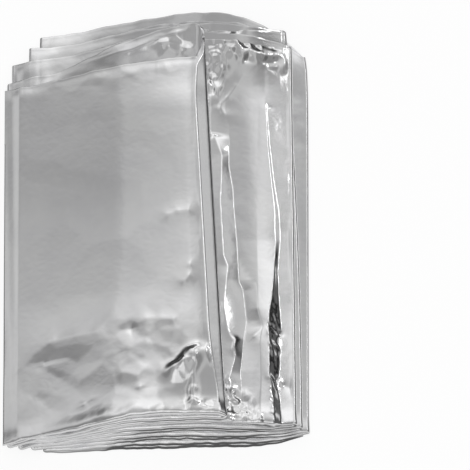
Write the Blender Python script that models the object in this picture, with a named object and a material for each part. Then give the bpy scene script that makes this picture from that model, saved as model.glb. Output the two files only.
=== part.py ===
"""Folded emergency foil blanket.

One strip of metallised film, pleated back and forth into nine leaves that lie on each other.
The pack lies flat. +X runs across it, from the left folds to the right folds, +Y runs along
the folds to the far end, where the leaves end in steps, and +Z is up.
The tables are in millimetres and the mesh is in metres. The origin is on the underside,
below the middle of the pack.
"""

import math
from collections import namedtuple

import bpy
import numpy as np

MM = 0.001

# Film: a leaf stands for the plies that lie tight together there.
EDGE_THICKNESS = 1.0
LOFT_THICKNESS = 0.8
EDGE_PITCH = 1.4
LOFT_PITCH = 1.4
RIM_BULGE = 0.4

# Fullness of the pack: pressed flat at both sides, full in the middle.
LOFT_LEFT_X = -48.0
LOFT_LEFT_WIDTH = 24.0
LOFT_RIGHT_X = 66.0
LOFT_RIGHT_WIDTH = 22.0

# The far end stands up a little, as the film springs open there.
LIFT_START_Y = 55.0
LIFT_LENGTH = 45.0
LIFT_HEIGHT = 10.0
LIFT_SPREAD = 1.1

# The short fold on top is rounder than the others.
TOP_FOLD_LIFT = 4.5
TOP_FOLD_WIDTH = 25.0
TOP_FOLD_GAP = 0.3

# An upper leaf sinks to the next one down within this distance of a left fold.
DROOP_WIDTH = 9.0
DROOP_CLEARANCE = 1.0

LEFT_EDGE_X = -62.0
RIDGE_X = 20.0
RIGHT_EDGE_X = 62.0
RIGHT_EDGE_POWER = 3
NEAR_Y = -108.0
FAR_Y = 96.0

# Where each leaf ends, bottom leaf first: its near edge and its far edge, at the left side,
# below the ridge and at the right side.
Leaf = namedtuple("Leaf", "near_left near_ridge near_right far_left far_ridge far_right")
LEAVES = (
    Leaf(-108.8, -104.2, -99.0, 96.7, 97.0, 84.0),
    Leaf(-109.4, -104.6, -99.2, 96.7, 103.5, 86.0),
    Leaf(-109.2, -104.0, -99.0, 89.8, 97.5, 86.0),
    Leaf(-108.4, -104.6, -98.4, 89.8, 94.5, 98.5),
    Leaf(-109.6, -103.8, -98.8, 81.7, 91.0, 98.0),
    Leaf(-108.7, -104.4, -98.2, 81.7, 86.5, 87.0),
    Leaf(-109.3, -103.6, -98.6, 69.5, 83.5, 87.0),
    Leaf(-109.3, -103.9, -103.9, 71.0, 87.0, 87.0),
    Leaf(-108.6, -103.0, -103.0, 67.0, 71.3, 71.3),
)

# Fold between a leaf and the next one up: where its outer side lies at the near and far end.
# A high bend keeps the fold straight until just before the far end.
LEFT = -1
RIGHT = 1
Fold = namedtuple("Fold", "side near_x far_x bend")
FOLDS = (
    Fold(LEFT, -46.8, -49.4, 1),
    Fold(RIGHT, 64.0, 61.0, 20),
    Fold(LEFT, -51.9, -54.0, 1),
    Fold(RIGHT, 61.3, 54.6, 2),
    Fold(LEFT, -57.3, -61.5, 1),
    Fold(RIGHT, 58.9, 57.0, 1),
    Fold(LEFT, -62.0, -63.4, 1),
    Fold(RIGHT, 29.6, 20.8, 1),
)
BOTTOM_LEAF_END_X = 61.5
TOP_LEAF_END_X = -64.0
OPEN_LEAF = 6
TOP_LEAF = 8

# Creases that stand up on the leaf whose right part lies open, each from near to far.
Crease = namedtuple("Crease", "left_width right_width route")
Point = namedtuple("Point", "x y height")
CREASES = (
    Crease(2.0, 2.0, (
        Point(29.6, -96.0, 0.0),
        Point(30.4, -84.0, 0.6),
        Point(33.2, -71.0, 0.8),
        Point(28.6, -46.0, 0.8),
        Point(29.6, -27.0, 0.8),
        Point(27.0, 0.0, 0.8),
        Point(27.5, 28.0, 0.6),
        Point(27.5, 40.0, 0.0),
    )),
    Crease(2.5, 2.5, (
        Point(37.4, -98.0, 0.6),
        Point(34.9, -81.0, 1.0),
        Point(38.0, -54.0, 1.0),
        Point(35.0, -30.0, 1.0),
        Point(32.8, 8.0, 1.0),
        Point(30.7, 34.0, 0.8),
        Point(30.7, 52.0, 0.0),
    )),
    Crease(6.0, 2.5, (
        Point(48.9, -99.0, 3.0),
        Point(46.6, -60.0, 3.0),
        Point(48.7, -37.0, 2.8),
        Point(50.1, -3.0, 2.4),
        Point(47.7, 20.0, 1.8),
        Point(45.8, 49.0, 1.0),
        Point(45.8, 66.0, 0.0),
    )),
)

# Soft swells of the top leaf: centre, half sizes along and across, turn, height.
Swell = namedtuple("Swell", "x y along across turn_deg height")
SWELLS = (
    Swell(-38.0, -71.0, 15.0, 5.0, 12.0, 1.0),
    Swell(-30.0, -50.0, 16.0, 5.0, 28.0, 0.8),
    Swell(-10.0, -80.0, 8.0, 4.5, -10.0, 0.9),
    Swell(12.0, -76.0, 7.0, 3.5, 30.0, 0.7),
    Swell(2.0, -44.0, 12.0, 6.0, 5.0, 0.6),
    Swell(2.0, 0.0, 14.0, 60.0, 0.0, 0.6),
)

# Mesh: stations across the pack, points along it, and points round each fold.
LEFT_STATIONS = (-60.5, -57.5, -54.5, -51.5, -48.5, -45.0, -40.0, -32.0, -21.0)
MIDDLE_STATIONS = (-9.0, 3.0, 13.0, 26.0, 38.0, 48.0, 55.0)
CREASE_STATIONS = np.linspace(24.0, 55.0, 17)
STATION_MARGIN = 1.5
SHEAR_START_X = -20.0
LENGTH_INTERVALS = 12
LENGTH_BIAS = 0.12
FOLD_INTERVALS = 6
SOLVE_STEPS = 6
SMOOTH_ANGLE = math.radians(50.0)
FIRST_END = "first end"
LAST_END = "last end"


def smoothstep(value):
    value = np.clip(value, 0.0, 1.0)
    return value * value * (3.0 - 2.0 * value)


def rise(distance, width):
    """0 at the edge of the pack, 1 well inside it."""
    return 1.0 - np.exp(-(np.maximum(distance, 0.0) / width) ** 2)


def loft(x):
    return rise(x - LOFT_LEFT_X, LOFT_LEFT_WIDTH) * rise(LOFT_RIGHT_X - x, LOFT_RIGHT_WIDTH)


def thickness(x):
    return EDGE_THICKNESS + LOFT_THICKNESS * loft(x)


def end_y(x, left, ridge, right):
    """Where a leaf ends, at one x: eased up to the ridge, then bent towards the right side."""
    to_ridge = smoothstep((x - LEFT_EDGE_X) / (RIDGE_X - LEFT_EDGE_X))
    past_ridge = np.clip((x - RIDGE_X) / (RIGHT_EDGE_X - RIDGE_X), 0.0, 1.0) ** RIGHT_EDGE_POWER
    return left + (ridge - left) * to_ridge + (right - ridge) * past_ridge


def leaf_y(leaf, x, along):
    """y of a point that lies a share along a leaf, from its near edge to its far one."""
    row = LEAVES[leaf]
    near = end_y(x, row.near_left, row.near_ridge, row.near_right)
    far = end_y(x, row.far_left, row.far_ridge, row.far_right)
    return near + (far - near) * along


def fold_x(fold, y):
    """x of the outer side of a fold, at each y."""
    row = FOLDS[fold]
    share = np.clip((y - NEAR_Y) / (FAR_Y - NEAR_Y), 0.0, 1.0) ** row.bend
    return row.near_x + (row.far_x - row.near_x) * share


def crease_height(x, y):
    """Standing creases: each has its own slope on either side of its crest."""
    total = np.zeros_like(x)
    for crease in CREASES:
        route_y = [point.y for point in crease.route]
        offset = x - np.interp(y, route_y, [point.x for point in crease.route])
        height = np.interp(y, route_y, [point.height for point in crease.route])
        width = np.where(offset < 0.0, crease.left_width, crease.right_width)
        total = np.maximum(total, height * np.exp(-(offset / width) ** 2))
    return total


def swell_height(x, y):
    """Soft swells, oval in plan."""
    total = np.zeros_like(x)
    for swell in SWELLS:
        turn = math.radians(swell.turn_deg)
        along = (x - swell.x) * math.cos(turn) + (y - swell.y) * math.sin(turn)
        across = (y - swell.y) * math.cos(turn) - (x - swell.x) * math.sin(turn)
        total += swell.height * np.exp(-(along / swell.along) ** 2 - (across / swell.across) ** 2)
    return total


def spring(x, y):
    """How far the far end has sprung up: 0 at the sides and below LIFT_START_Y."""
    across = smoothstep((x - LOFT_LEFT_X) / (RIDGE_X - LOFT_LEFT_X)) * loft(x)
    return across * (np.maximum(y - LIFT_START_Y, 0.0) / LIFT_LENGTH) ** 2


def leaf_z(leaf, x, y):
    """Height of a leaf's underside: the leaves below it, less where they end short of it."""
    height = np.zeros_like(x)
    for lower in range(leaf):
        left_fold = lower - lower % 2
        reach = fold_x(left_fold, y) - DROOP_CLEARANCE - DROOP_WIDTH
        pitch = EDGE_PITCH + LOFT_PITCH * loft(x)
        height += pitch * smoothstep((x - reach) / DROOP_WIDTH)
    height += LIFT_HEIGHT * (1.0 - math.exp(-leaf / LIFT_SPREAD)) * spring(x, y)
    if leaf > OPEN_LEAF:
        height += TOP_FOLD_GAP
    if leaf == OPEN_LEAF:
        height += crease_height(x, y)
    if leaf == TOP_LEAF:
        inside = (fold_x(TOP_LEAF - 1, y) - x) / TOP_FOLD_WIDTH
        height += TOP_FOLD_LIFT * np.exp(-inside ** 2) + swell_height(x, y)
    return height


def fold_circle(fold, y):
    """Centre line of a fold at each y: x where the leaves end, middle height and radius."""
    side = FOLDS[fold].side
    outer = fold_x(fold, y)
    x = outer - side
    for _ in range(SOLVE_STEPS):
        radius = (leaf_z(fold + 1, x, y) - leaf_z(fold, x, y)) / 2.0
        x = outer - side * (radius + thickness(x) / 2.0)
    low = leaf_z(fold, x, y) + thickness(x) / 2.0
    return x, low + radius, radius


def leaf_end_x(leaf, last, y):
    """x of a leaf's first or last end at each y: a fold, or a free end of the strip."""
    fold = leaf if last else leaf - 1
    if fold < 0:
        return np.full_like(y, BOTTOM_LEAF_END_X)
    if fold == len(FOLDS):
        return np.full_like(y, TOP_LEAF_END_X)
    return fold_circle(fold, y)[0]


def column_x(leaf, station, y):
    """x of a column at each y: its station, sheared along with the fold on its right."""
    if station == FIRST_END:
        return leaf_end_x(leaf, False, y)
    if station == LAST_END:
        return leaf_end_x(leaf, True, y)
    last_is_right = leaf % 2 == 1
    right = leaf_end_x(leaf, last_is_right, y)
    middle = leaf_end_x(leaf, last_is_right, np.zeros(1))[0]
    share = (station - SHEAR_START_X) / (middle - SHEAR_START_X)
    return station + (right - middle) * np.clip(share, 0.0, 1.0)


def leaf_column(leaf, station, along):
    """Middle of the film, its normal and its thickness, on one line along the pack."""
    y = NEAR_Y + (FAR_Y - NEAR_Y) * along
    for _ in range(SOLVE_STEPS):
        x = column_x(leaf, station, y)
        y = leaf_y(leaf, x, along)
    z = leaf_z(leaf, x, y) + thickness(x) / 2.0
    # The first side of the strip faces down on an even leaf, and up on an odd one.
    facing = -1.0 if leaf % 2 == 0 else 1.0
    normal = np.tile([0.0, 0.0, facing], (len(y), 1))
    return np.stack([x, y, z], axis=1), normal, thickness(x)


def fold_column(fold, angle, along):
    """The same on a line in a fold, at an angle round it from the lower leaf to the upper."""
    side = FOLDS[fold].side
    upper_share = (1.0 - math.cos(angle)) / 2.0
    y = NEAR_Y + (FAR_Y - NEAR_Y) * along
    for _ in range(SOLVE_STEPS):
        x, middle, radius = fold_circle(fold, y)
        lower_y = leaf_y(fold, x, along)
        y = lower_y + (leaf_y(fold + 1, x, along) - lower_y) * upper_share
    outward = np.array([side * math.sin(angle), 0.0, -math.cos(angle)])
    place = np.stack([x + outward[0] * radius, y, middle + outward[2] * radius], axis=1)
    return place, np.tile(-side * outward, (len(y), 1)), thickness(x)


def leaf_stations(leaf):
    """Where the columns of a leaf stand, in order from its first end to its last."""
    ends_y = np.array([NEAR_Y, FAR_Y])
    first = leaf_end_x(leaf, False, ends_y)
    last = leaf_end_x(leaf, True, ends_y)
    left, right = (last, first) if leaf % 2 == 0 else (first, last)
    stations = set(LEFT_STATIONS + MIDDLE_STATIONS)
    if leaf == OPEN_LEAF:
        stations = {x for x in stations if x < CREASE_STATIONS[0]} | set(CREASE_STATIONS)
    low = left.max() + STATION_MARGIN
    high = right.mean() - STATION_MARGIN
    inner = sorted((x for x in stations if low < x < high), reverse=leaf % 2 == 0)
    return [FIRST_END] + inner + [LAST_END]


def strip_columns():
    """All lines along the strip, from the bottom leaf's free end to the top leaf's."""
    even = np.linspace(0.0, 1.0, LENGTH_INTERVALS + 1)
    along = even + LENGTH_BIAS * np.sin(math.pi * even)
    columns = []
    for leaf in range(len(LEAVES)):
        columns += [leaf_column(leaf, station, along) for station in leaf_stations(leaf)]
        if leaf < len(FOLDS):
            angles = np.linspace(0.0, math.pi, FOLD_INTERVALS + 1)[1:-1]
            columns += [fold_column(leaf, angle, along) for angle in angles]
    return columns


def column_ring(middle, normal, thick):
    """A closed loop round the film at one line: first side, far rim, second side, near rim."""
    half = normal * (thick / 2.0)[:, None]
    first_side = middle + half
    second_side = (middle - half)[::-1]
    far_rim = middle[-1] + np.array([0.0, RIM_BULGE * thick[-1], 0.0])
    near_rim = middle[0] - np.array([0.0, RIM_BULGE * thick[0], 0.0])
    return np.concatenate([first_side, far_rim[None], second_side, near_rim[None]])


def strip_faces(column_count, ring_size):
    """Quads between neighbouring rings, and flat caps over the first ring and the last."""
    faces = []
    for column in range(column_count - 1):
        start = column * ring_size
        for step in range(ring_size):
            after = (step + 1) % ring_size
            faces.append((start + step, start + ring_size + step,
                          start + ring_size + after, start + after))
    side = LENGTH_INTERVALS + 1
    for start, flip in ((0, False), ((column_count - 1) * ring_size, True)):
        cap = []
        for step in range(LENGTH_INTERVALS):
            opposite = 2 * side - step
            cap.append((step, step + 1, opposite - 1, opposite))
        cap.append((side - 1, side, side + 1))
        cap.append((2 * side, 2 * side + 1, 0))
        for face in cap:
            face = tuple(start + point for point in face)
            faces.append(face[::-1] if flip else face)
    return faces


def foil_material():
    material = bpy.data.materials.new("metallised_film")
    material.use_nodes = True
    shader = material.node_tree.nodes["Principled BSDF"]
    shader.inputs["Base Color"].default_value = (0.80, 0.80, 0.81, 1.0)
    shader.inputs["Metallic"].default_value = 1.0
    shader.inputs["Roughness"].default_value = 0.20
    return material


def build_blanket():
    rings = np.array([column_ring(*column) for column in strip_columns()])
    column_count, ring_size, _ = rings.shape
    points = rings.reshape(-1, 3)
    lowest = points.min(axis=0)
    highest = points.max(axis=0)
    points = points - [(lowest[0] + highest[0]) / 2.0, (lowest[1] + highest[1]) / 2.0, lowest[2]]
    mesh = bpy.data.meshes.new("foil_blanket")
    mesh.from_pydata((points * MM).tolist(), [], strip_faces(column_count, ring_size))
    mesh.validate()
    mesh.shade_smooth()
    mesh.set_sharp_from_angle(angle=SMOOTH_ANGLE)
    mesh.materials.append(foil_material())
    blanket = bpy.data.objects.new("foil_blanket", mesh)
    bpy.context.scene.collection.objects.link(blanket)


def main():
    for item in list(bpy.data.objects):
        bpy.data.objects.remove(item, do_unlink=True)
    build_blanket()


main()
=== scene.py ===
"""Looks of the folded emergency foil blanket: fine film, its creases, finish, light and camera."""

import math
from collections import namedtuple

import bpy
import numpy as np
from mathutils import Matrix, Vector


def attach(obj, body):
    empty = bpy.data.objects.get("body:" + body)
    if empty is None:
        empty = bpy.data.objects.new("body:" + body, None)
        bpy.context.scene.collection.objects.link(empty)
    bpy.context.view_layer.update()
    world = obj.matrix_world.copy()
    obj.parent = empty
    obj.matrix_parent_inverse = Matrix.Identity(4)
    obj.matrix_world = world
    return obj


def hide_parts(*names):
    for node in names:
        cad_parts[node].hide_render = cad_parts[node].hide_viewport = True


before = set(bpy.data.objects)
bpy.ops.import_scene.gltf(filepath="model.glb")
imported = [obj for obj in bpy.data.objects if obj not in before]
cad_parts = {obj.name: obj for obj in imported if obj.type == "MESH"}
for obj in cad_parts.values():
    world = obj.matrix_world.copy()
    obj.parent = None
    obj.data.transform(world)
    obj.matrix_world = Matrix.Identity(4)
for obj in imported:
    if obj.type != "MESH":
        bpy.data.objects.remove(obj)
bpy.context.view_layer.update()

NODE = "foil_blanket"
MM = 0.001

# The photo's view: a long lens, looking along +Y and down. Places below that are given as
# u and v are read off the photo, in its pixels, and turned into millimetres on a leaf.
ELEVATION = math.radians(58.0)
MM_PER_PIXEL = 0.42
PACK_U = 156.5
FRAME_CENTRE = 235.0
FRAME_PIXELS = 470.0
CAMERA_DISTANCE = 10.0
SENSOR = 36.0

# The pack in millimetres, as the solid has it.
EDGE_THICKNESS = 1.0
LOFT_THICKNESS = 0.8
EDGE_PITCH = 1.4
LOFT_PITCH = 1.4
LOFT_LEFT_X = -48.0
LOFT_LEFT_WIDTH = 24.0
LOFT_RIGHT_X = 66.0
LOFT_RIGHT_WIDTH = 22.0
LIFT_START_Y = 55.0
LIFT_LENGTH = 45.0
LIFT_HEIGHT = 10.0
LIFT_SPREAD = 1.1
TOP_FOLD_LIFT = 4.2
TOP_FOLD_WIDTH = 32.0
TOP_FOLD_GAP = 0.3
# The short fold on top closes towards both of its ends.
TOP_FOLD_NEAR_Y = -104.0
TOP_FOLD_NEAR_LENGTH = 44.0
TOP_FOLD_FAR_Y = 45.0
TOP_FOLD_FAR_LENGTH = 40.0
TOP_FOLD_FAR_SHARE = 0.25
NEAR_RISE = 2.2
NEAR_RISE_Y = -40.0
NEAR_RISE_LENGTH = 65.0
NEAR_RISE_START = 0.15
DROOP_WIDTH = 12.0
DROOP_CLEARANCE = 1.0
LEFT_EDGE_X = -62.0
RIDGE_X = 20.0
RIGHT_EDGE_X = 62.0
RIGHT_EDGE_POWER = 3
NEAR_Y = -108.0
PAGE_SHIFT_Y = 2.87
FAR_Y = 96.0

# Waves in the leaves' ends: how far they reach, and the longest of them.
NEAR_RIPPLE = 0.35
NEAR_RIPPLE_LENGTH = 40.0
FAR_RIPPLE = 0.4
FAR_RIPPLE_LENGTH = 45.0
FAR_RIPPLE_SEED = 20
RIPPLE_WAVES = 4
RIPPLE_STEP = 1.7
RIPPLE_SUM = 1.6

# Where each leaf ends, near and far: at its left edge, at the ridge and at its right edge.
Leaf = namedtuple("Leaf", "near_left near_ridge near_right far_left far_ridge far_right")
LEAVES = (
    Leaf(-107.4, -104.2, -99.0, 96.7, 97.0, 84.0),
    Leaf(-107.9, -104.6, -99.2, 96.7, 103.5, 86.0),
    Leaf(-107.8, -104.0, -99.0, 89.8, 97.5, 86.0),
    Leaf(-107.1, -104.6, -98.4, 89.8, 94.5, 98.5),
    Leaf(-107.9, -103.8, -98.8, 81.7, 91.0, 98.0),
    Leaf(-107.3, -104.4, -98.2, 81.7, 88.0, 87.0),
    Leaf(-107.8, -103.6, -98.6, 69.5, 83.5, 87.0),
    Leaf(-107.8, -103.9, -103.9, 71.0, 88.5, 88.5),
    Leaf(-107.5, -103.0, -103.0, 67.0, 71.3, 71.3),
)

LEFT = -1
RIGHT = 1
# Outer side of each fold at its near and far end: a larger bend keeps it near the first for longer.
Fold = namedtuple("Fold", "side near_x far_x bend")
FOLDS = (
    Fold(LEFT, -46.8, -49.4, 1),
    Fold(RIGHT, 64.0, 61.0, 20),
    Fold(LEFT, -51.9, -54.0, 1),
    Fold(RIGHT, 61.3, 54.6, 2),
    Fold(LEFT, -57.3, -61.5, 1),
    Fold(RIGHT, 58.9, 57.0, 1),
    Fold(LEFT, -62.0, -63.4, 1),
    Fold(RIGHT, 29.6, 19.6, 1),
)
# Section of the short fold on top, in its radii: a flat flank between two tight corners.
SectionPoint = namedtuple("SectionPoint", "reach level")
TOP_FOLD_REACH = 1.45
TOP_FOLD_SECTION = (
    SectionPoint(0.0, -1.0),
    SectionPoint(0.45, -0.97),
    SectionPoint(0.90, -0.84),
    SectionPoint(1.25, -0.62),
    SectionPoint(1.42, -0.30),
    SectionPoint(1.45, 0.0),
    SectionPoint(1.43, 0.14),
    SectionPoint(1.38, 0.22),
    SectionPoint(1.28, 0.29),
    SectionPoint(1.00, 0.44),
    SectionPoint(0.70, 0.60),
    SectionPoint(0.40, 0.76),
    SectionPoint(0.18, 0.88),
    SectionPoint(0.09, 0.93),
    SectionPoint(0.04, 0.97),
    SectionPoint(0.0, 1.0),
)
BOTTOM_LEAF_END_X = 61.5
TOP_LEAF_END_X = -64.0
OPEN_LEAF = 6
TUCKED_LEAF = 7
TOP_LEAF = 8

# Fold lines run along the pack, from the far end to the near one, and the film is straight
# between one and the next: where each runs on the photo, and how far it stands up there.
LinePoint = namedtuple("LinePoint", "u v height")
FOLD_LINES = {
    OPEN_LEAF: (
        # The film comes out from under the short fold, runs level to the first crest, falls to
        # a trough, rises to the edge of a level band, and drops steeply beyond the last crest.
        (LinePoint(195, 60, 0.0), LinePoint(200, 140, 0.0), LinePoint(205.5, 230, 0.0),
         LinePoint(209.5, 300, 0.0), LinePoint(214.5, 385, 0.0), LinePoint(215, 410, 0.0)),
        (LinePoint(203, 60, 0.0), LinePoint(207, 133, 0.0), LinePoint(208, 140, 0.9),
         LinePoint(209.5, 160, 1.0), LinePoint(211.5, 200, 1.85), LinePoint(213.5, 230, 2.05),
         LinePoint(215.5, 258, 2.05), LinePoint(217.5, 290, 1.9), LinePoint(218, 300, 2.0),
         LinePoint(219.5, 320, 1.7), LinePoint(222.5, 385, 1.0), LinePoint(223, 400, 0.2)),
        (LinePoint(210, 60, 0.0), LinePoint(212, 133, 0.2), LinePoint(214, 138, 1.0),
         LinePoint(221.7, 155, 1.0), LinePoint(221.2, 180, 1.5), LinePoint(220, 200, 1.9),
         LinePoint(221.5, 230, 2.1), LinePoint(223.3, 258, 2.1), LinePoint(228, 268, 1.5),
         LinePoint(226.5, 278, 1.9), LinePoint(225, 290, 2.0), LinePoint(224, 300, 2.1),
         LinePoint(223.7, 310, 2.2), LinePoint(228, 332, 1.7), LinePoint(234, 343, 1.1),
         LinePoint(235.8, 356, 0.9), LinePoint(228, 381, 1.3), LinePoint(229, 400, 0.2)),
        (LinePoint(226, 60, 0.0), LinePoint(225, 115, -0.2), LinePoint(230, 125, -0.4),
         LinePoint(229, 165, -0.6), LinePoint(233, 187, -0.7), LinePoint(234, 205, -0.7),
         LinePoint(237, 240, -0.7), LinePoint(239.3, 280, -0.7), LinePoint(243.5, 288, -1.1),
         LinePoint(247, 320, -1.1), LinePoint(244, 341, -0.9), LinePoint(241, 370, -0.75),
         LinePoint(242, 385, -0.7), LinePoint(243, 400, -0.2), LinePoint(245, 415, -0.2)),
        (LinePoint(254, 60, -0.3), LinePoint(256, 85, -0.3), LinePoint(258, 105, -0.1),
         LinePoint(257.5, 145, -0.1), LinePoint(257.5, 175, -0.1), LinePoint(257, 212, -0.1),
         LinePoint(257, 240, 0.0), LinePoint(257, 272, 0.9), LinePoint(257.5, 310, 2.0),
         LinePoint(262.5, 328, 2.2), LinePoint(259.5, 345, 2.3), LinePoint(261, 380, 2.2),
         LinePoint(260, 415, 1.7)),
        (LinePoint(264, 60, -0.35), LinePoint(265, 85, -0.35), LinePoint(265.8, 108, 0.1),
         LinePoint(268, 145, 0.2), LinePoint(270.8, 175, 0.2), LinePoint(274.5, 212, 0.2),
         LinePoint(275.8, 240, 0.25), LinePoint(274.8, 262, 0.8), LinePoint(274.4, 272, 1.2),
         LinePoint(272.3, 295, 1.9), LinePoint(269.5, 312, 2.4), LinePoint(268.5, 322, 2.6),
         LinePoint(269, 345, 2.7), LinePoint(269, 375, 2.7), LinePoint(271.5, 385, 2.4),
         LinePoint(274.5, 416, 1.9)),
        (LinePoint(268, 60, -0.25), LinePoint(268.5, 85, -0.25), LinePoint(266.8, 108, 0.0),
         LinePoint(269.2, 145, 0.02), LinePoint(272.8, 175, 0.0), LinePoint(279.0, 212, -0.04),
         LinePoint(279.8, 240, -0.05), LinePoint(277.5, 262, -0.05), LinePoint(277.0, 272, -0.05),
         LinePoint(278.5, 300, -0.05), LinePoint(280.0, 318, -0.05), LinePoint(281.5, 331, -0.04),
         LinePoint(276.0, 338, 0.1), LinePoint(280.5, 350, -0.04), LinePoint(278.5, 374, -0.05),
         LinePoint(275.0, 380, 0.1), LinePoint(279.5, 400, -0.05), LinePoint(280.5, 417, -0.05)),
        (LinePoint(279, 60, 0.0), LinePoint(280, 85, 0.0), LinePoint(283, 140, 0.0),
         LinePoint(285, 230, 0.0),
         LinePoint(286.5, 300, 0.0), LinePoint(287, 415, 0.0)),
    ),
    TOP_LEAF: (
        (LinePoint(100, 60, 0.0), LinePoint(100, 420, 0.0)),
        (LinePoint(118, 60, 0.0), LinePoint(119, 230, 0.0), LinePoint(121, 420, 0.0)),
        (LinePoint(186, 60, 0.12), LinePoint(187, 140, 0.14), LinePoint(189, 232, 0.16),
         LinePoint(192, 290, 0.15), LinePoint(199, 318, 0.1), LinePoint(199, 325, 0.1),
         LinePoint(194, 345, 0.15), LinePoint(191, 395, 0.15), LinePoint(191, 415, 0.1)),
        (LinePoint(197, 60, 0.0), LinePoint(198, 180, 0.0), LinePoint(202, 225, 0.0),
         LinePoint(207, 310, 0.0),
         LinePoint(215, 400, 0.0)),
    ),
}

# The top leaf is pulled straight from one of these places to the other.
TAUT_U = (19.0, 112.0)

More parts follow.
